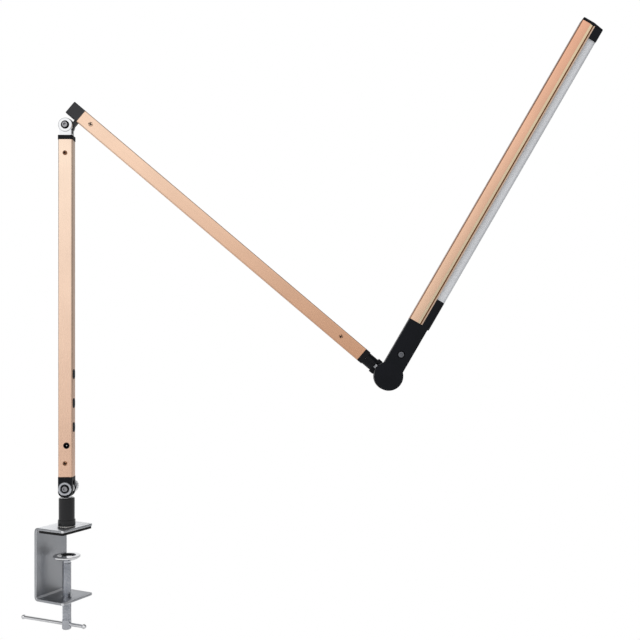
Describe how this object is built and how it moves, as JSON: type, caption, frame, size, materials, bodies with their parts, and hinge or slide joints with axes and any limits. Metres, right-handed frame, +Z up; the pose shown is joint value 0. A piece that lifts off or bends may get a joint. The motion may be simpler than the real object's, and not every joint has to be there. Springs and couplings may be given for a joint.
{
  "type": "clamp-on folding light bar lamp",
  "caption": "Desk-clamp task lamp with a swivel post, two flat tubes, a long light bar, friction hinges, a screw clamp and side buttons.",
  "frame": {"origin": "point on the post's axis at the underside of the upper jaw pad, where it rests on a desk", "axes": "+Z up along the post; the arms fold in the XZ plane and reach towards +X; the bolt heads face -Y"},
  "size_m": [0.6396, 0.0587, 0.6618],
  "materials": {
    "gold": "satin",
    "black_metal": "satin",
    "black_plastic": "matte",
    "bright": "polished",
    "clamp_steel": "satin",
    "steel": "satin",
    "rubber": "matte",
    "nylon": "matte",
    "milky": "satin",
    "board": "matte",
    "chip": "gloss",
    "cable": "matte"
  },
  "bodies": {
    "clamp": {"clamp_bracket": "clamp_steel", "jaw_pad": "rubber", "swivel_washer": "nylon"},
    "post": {"knurled_ring": "black_metal", "post": "black_metal", "post_screw": "steel", "base_eye": "bright"},
    "lower_arm": {"lower_tube": "gold", "lower_fork": "black_metal", "base_ring": "bright", "base_bolt": "steel", "base_friction_washers": "nylon", "base_washer": "bright", "lower_top_cap": "black_plastic", "elbow_eye": "bright", "lower_tube_screws": "gold", "dc_jack": "black_plastic", "dc_jack_pin": "bright", "control_board": "board", "tact_switches": "black_plastic", "lower_cable": "cable", "elbow_bolt": "steel", "elbow_friction_washers": "nylon", "elbow_washer": "bright", "elbow_seat_washer": "black_plastic", "elbow_nut": "steel"},
    "base_thumb_nut": {"base_knob": "bright"},
    "upper_arm": {"elbow_knuckle": "black_metal", "upper_tube": "gold", "upper_end_plug": "black_metal", "upper_tube_screws": "gold", "upper_cable": "cable"},
    "wrist": {"wrist_swivel": "black_metal", "swivel_pin": "bright", "swivel_clip": "steel", "pivot_bolt": "steel", "pivot_washer": "nylon"},
    "head": {"head_neck": "black_plastic", "neck_screw": "steel", "head_channel": "gold", "diffuser": "milky", "head_end_cap": "black_plastic", "led_board": "board", "led_chips": "chip"},
    "swivel_pad": {"screw_pad": "bright"},
    "screw": {"clamp_screw": "bright"},
    "cross_bar": {"t_bar": "bright"},
    "upper_button": {"button_upper": "black_plastic"},
    "middle_button": {"button_middle": "black_plastic"},
    "lower_button": {"button_lower": "black_plastic"}
  },
  "joints": [
    {"name": "base_swivel", "type": "hinge", "parent": "clamp", "child": "post", "pos_m": [0, 0, 0.02], "axis": [0, 0, 1], "continuous": true},
    {"name": "base_tilt", "type": "hinge", "parent": "post", "child": "lower_arm", "pos_m": [0, 0, 0.0469], "axis": [0, 1, 0], "range_deg": [-90, 90]},
    {"name": "base_knob_turn", "type": "hinge", "parent": "lower_arm", "child": "base_thumb_nut", "pos_m": [0, 0.012, 0.0469], "axis": [0, 1, 0], "range_deg": [-90, 90]},
    {"name": "elbow", "type": "hinge", "parent": "lower_arm", "child": "upper_arm", "pos_m": [0, 0, 0.4451], "axis": [0, -1, 0], "range_deg": [-44.7, 130.3]},
    {"name": "wrist_roll", "type": "hinge", "parent": "upper_arm", "child": "wrist", "pos_m": [0.33285, 0, 0.18668], "axis": [-0.7627, 0, 0.6468], "range_deg": [-90, 90]},
    {"name": "head_tilt", "type": "hinge", "parent": "wrist", "child": "head", "pos_m": [0.35192, 0, 0.17051], "axis": [0, -1, 0], "range_deg": [-100, 79.5]},
    {"name": "clamp_feed", "type": "slide", "parent": "clamp", "child": "swivel_pad", "axis": [0, 0, 1], "range_m": [-0.036, 0.0245]},
    {"name": "screw_turn", "type": "hinge", "parent": "swivel_pad", "child": "screw", "pos_m": [0, 0, -0.06], "axis": [0, 0, 1], "range_deg": [-8640, 5880]},
    {"name": "bar_slide", "type": "slide", "parent": "screw", "child": "cross_bar", "axis": [0.9205, -0.3907, 0], "range_m": [-0.0168, 0.0538]},
    {"name": "upper_button_press", "type": "slide", "parent": "lower_arm", "child": "upper_button", "axis": [-1, 0, 0], "range_m": [0, 0.0005], "stiffness_N_per_m": 250, "springref_m": -0.001},
    {"name": "middle_button_press", "type": "slide", "parent": "lower_arm", "child": "middle_button", "axis": [-1, 0, 0], "range_m": [0, 0.0005], "stiffness_N_per_m": 250, "springref_m": -0.001},
    {"name": "lower_button_press", "type": "slide", "parent": "lower_arm", "child": "lower_button", "axis": [-1, 0, 0], "range_m": [0, 0.0005], "stiffness_N_per_m": 250, "springref_m": -0.001}
  ],
  "couplings": [
    {"joint": "screw_turn", "follows": "clamp_feed", "rad_per_m": 4188.8}
  ]
}
